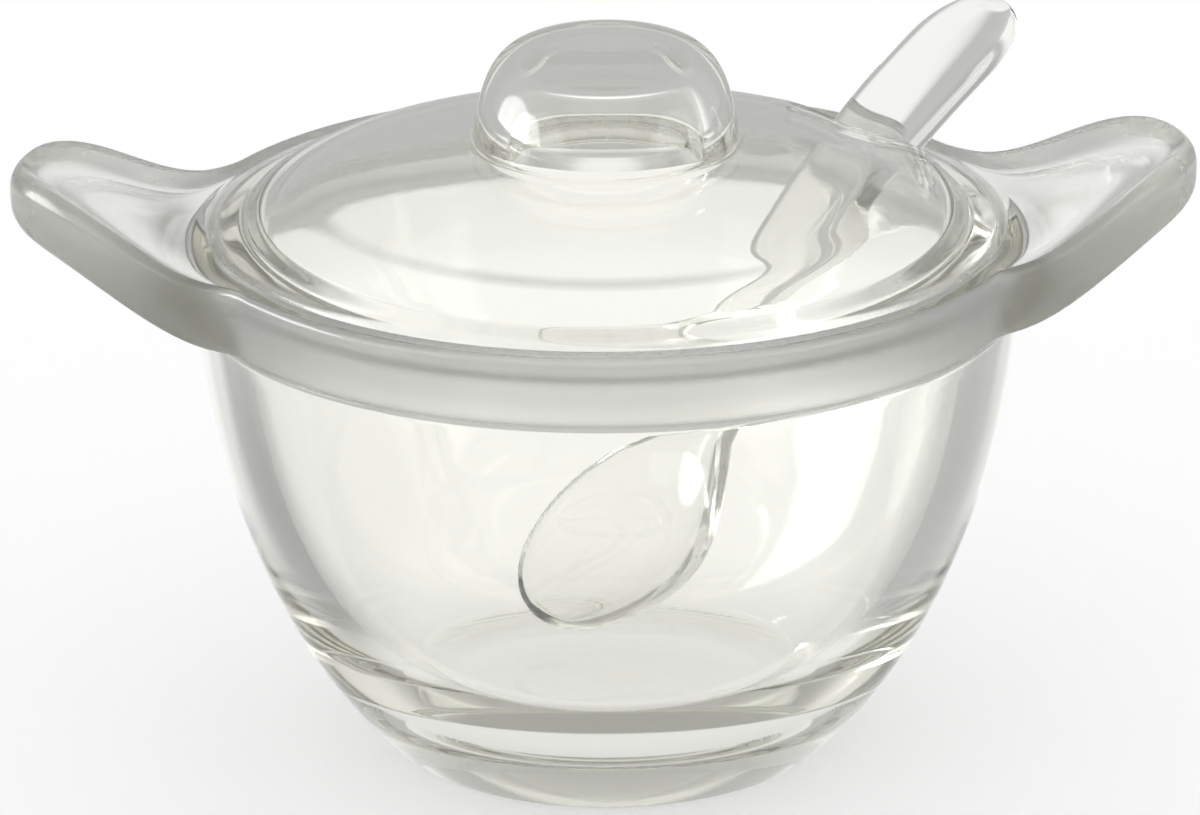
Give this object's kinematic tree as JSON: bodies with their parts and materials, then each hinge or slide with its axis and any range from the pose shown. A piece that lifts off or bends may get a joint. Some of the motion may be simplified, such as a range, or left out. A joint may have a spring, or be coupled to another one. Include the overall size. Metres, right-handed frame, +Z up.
{
  "type": "parmesan pot",
  "caption": "Clear plastic pot for grated cheese with raised ears on its rim, a domed lid with a hollow knob and an edge notch, and a spoon that leans in the notch.",
  "frame": {"origin": "centre of the flat underside of the pot", "axes": "+Z up along the axis of the pot, X through the tips of the ears, front at -Y, so the spoon leans out at the back on the +X side"},
  "size_m": [0.15, 0.1072, 0.0929],
  "materials": {
    "pot_plastic": "polished clear moulding with a faint warm grey cast",
    "lid_plastic": "polished clear moulding with a faint warm grey cast",
    "spoon_plastic": "polished clear moulding with a faint warm grey cast"
  },
  "bodies": {
    "pot_body": {"pot": "pot_plastic"},
    "spoon_body": {"spoon": "spoon_plastic"},
    "lid_body": {"lid": "lid_plastic"}
  },
  "joints": [
    {"name": "spoon_lift", "type": "slide", "parent": "pot_body", "child": "spoon_body", "axis": [0, 0, 1], "range_m": [0, 0.08]},
    {"name": "lid_lift", "type": "slide", "parent": "spoon_body", "child": "lid_body", "axis": [0, 0, 1], "range_m": [0, 0.05]}
  ]
}
